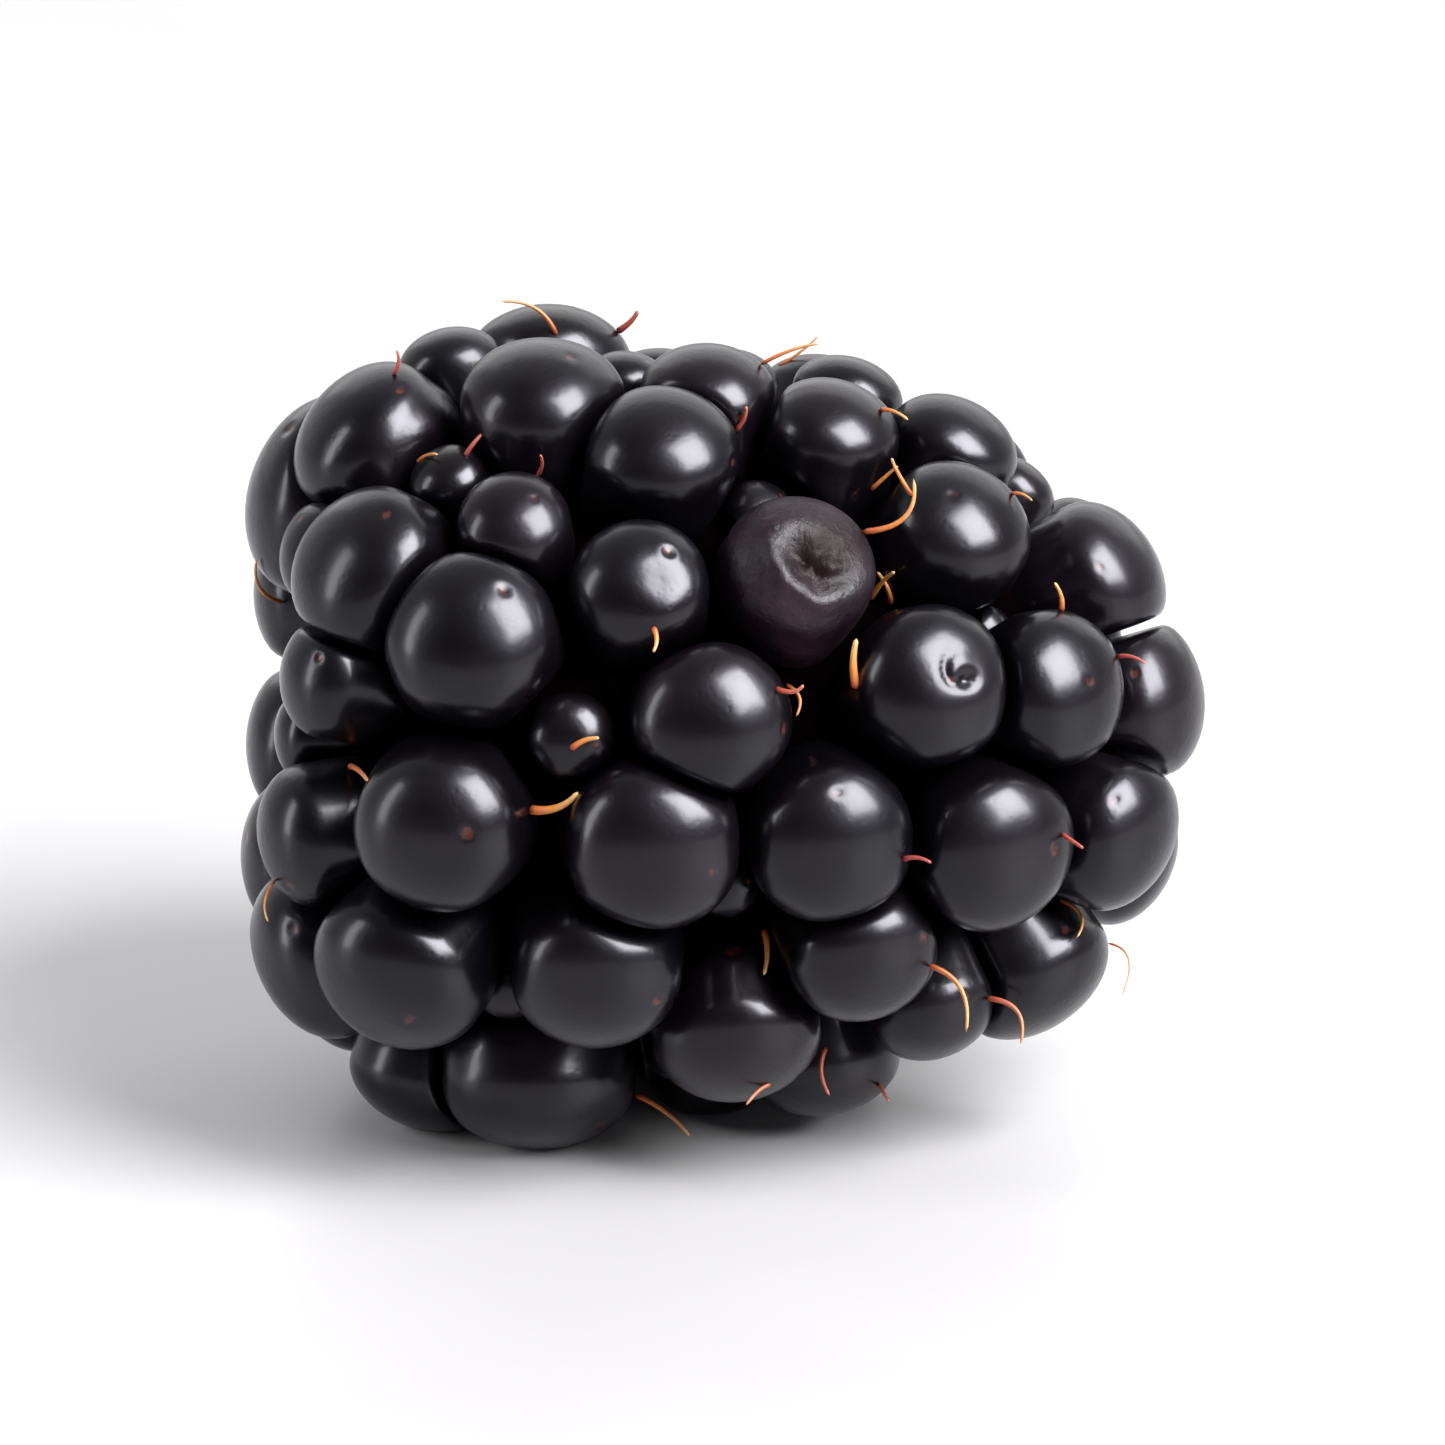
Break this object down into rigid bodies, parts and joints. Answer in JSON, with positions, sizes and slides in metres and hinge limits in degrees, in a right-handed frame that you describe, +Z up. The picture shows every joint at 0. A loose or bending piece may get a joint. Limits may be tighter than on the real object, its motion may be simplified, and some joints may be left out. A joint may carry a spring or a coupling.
{
  "type": "bramble berry",
  "caption": "Ripe bramble berry lying on its side: glossy round drupelets packed over an egg-shaped head, with the pale receptacle's scar at the stem end.",
  "frame": {"origin": "on the surface that the berry lies on, under the middle of its box", "axes": "+X from the stem end to the tip, +Z up as the berry lies, -Y towards the viewer of its front"},
  "size_m": [0.0276, 0.024, 0.0232],
  "materials": {
    "drupelet_skin": "glossy thin skin, black with a blue and purple cast",
    "receptacle_flesh": "matt fibrous flesh, yellow to olive"
  },
  "bodies": {
    "root": {"drupelets": "drupelet_skin", "receptacle": "receptacle_flesh"}
  },
  "joints": []
}
